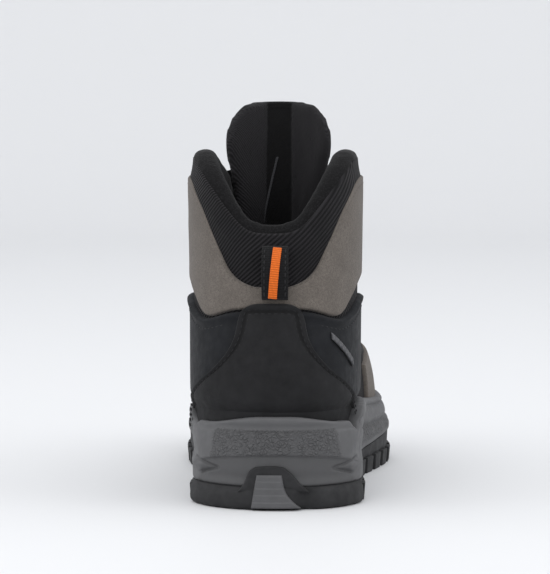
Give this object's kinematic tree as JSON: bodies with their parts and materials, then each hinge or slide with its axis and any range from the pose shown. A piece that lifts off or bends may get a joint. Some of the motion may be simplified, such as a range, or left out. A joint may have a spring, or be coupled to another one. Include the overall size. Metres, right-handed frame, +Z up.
{
  "type": "hiking boot",
  "caption": "Mid-height right hiking boot with padded collar, laced throat, heel pull loop, suede and nubuck panels, foam midsole and lugged outsole.",
  "frame": {"origin": "middle of the boot's footprint box, on the ground", "axes": "+Y from heel to toe, +X to the outer (lateral) side of the right foot, +Z up"},
  "size_m": [0.1104, 0.3022, 0.1958],
  "materials": {
    "rubber_black": "matte moulded rubber",
    "rubber_grey": "matte ribbed rubber",
    "midsole_grey": "matte foam with a crinkled band",
    "leather_black": "matte nubuck",
    "suede_grey": "napped suede",
    "textile_black": "ribbed mesh",
    "lining_black": "smooth knit",
    "webbing_black": "woven webbing",
    "webbing_orange": "woven stripe",
    "tape_grey": "seam tape",
    "lace_black": "braided cord",
    "steel": "dark satin",
    "board": "fibre board",
    "foam": "open foam"
  },
  "bodies": {
    "boot": {"outsole": "rubber_black", "heel_insert": "rubber_grey", "midsole": "midsole_grey", "shank": "steel", "lasting_board": "board", "heel_shell": "textile_black", "heel_stiffener": "board", "collar_foam": "foam", "heel_lining": "lining_black", "side_shell_lateral": "textile_black", "side_shell_medial": "textile_black", "side_lining_lateral": "lining_black", "side_lining_medial": "lining_black", "vamp": "leather_black", "vamp_lining": "lining_black", "toe_box": "leather_black", "toe_puff": "board", "suede_collar": "suede_grey", "quarter_lateral": "leather_black", "quarter_medial": "leather_black", "counter": "leather_black", "eyestay_lateral": "leather_black", "eyestay_medial": "leather_black", "toe_rand": "rubber_black", "forefoot_panel_lateral": "suede_grey", "forefoot_panel_medial": "suede_grey", "tongue_lower": "textile_black", "tongue_tape": "tape_grey", "gusset_lateral": "textile_black", "gusset_medial": "textile_black", "lace": "lace_black", "lace_knot": "lace_black", "lace_tail_lateral": "lace_black", "lace_tail_medial": "lace_black", "side_mark": "steel", "lace_loop_lateral_1": "webbing_black", "lace_loop_lateral_2": "webbing_black", "lace_loop_lateral_3": "webbing_black", "lace_loop_lateral_4": "webbing_black", "lace_loop_medial_1": "webbing_black", "lace_loop_medial_2": "webbing_black", "lace_loop_medial_3": "webbing_black", "lace_loop_medial_4": "webbing_black", "lace_hook_lateral_1": "steel", "lace_hook_lateral_2": "steel", "lace_hook_lateral_3": "steel", "lace_hook_medial_1": "steel", "lace_hook_medial_2": "steel", "lace_hook_medial_3": "steel"},
    "tongue_top": {"tongue_upper": "textile_black"},
    "pull_loop": {"pull_loop": "webbing_black", "pull_loop_stripe": "webbing_orange"},
    "insole": {"insole": "foam"}
  },
  "joints": [
    {"name": "tongue_fold", "type": "hinge", "parent": "boot", "child": "tongue_top", "pos_m": [-0.0021, -0.0268, 0.1595], "axis": [-1, 0, 0], "range_deg": [0, 35], "stiffness_Nm_per_rad": 0.05},
    {"name": "pull_loop_swing", "type": "hinge", "parent": "boot", "child": "pull_loop", "pos_m": [-0.0021, -0.1472, 0.099], "axis": [1, 0, 0], "range_deg": [0, 60], "stiffness_Nm_per_rad": 0.01},
    {"name": "insole_lift", "type": "hinge", "parent": "boot", "child": "insole", "pos_m": [0, 0.135, 0.036], "axis": [-1, 0, 0], "range_deg": [0, 4]}
  ]
}
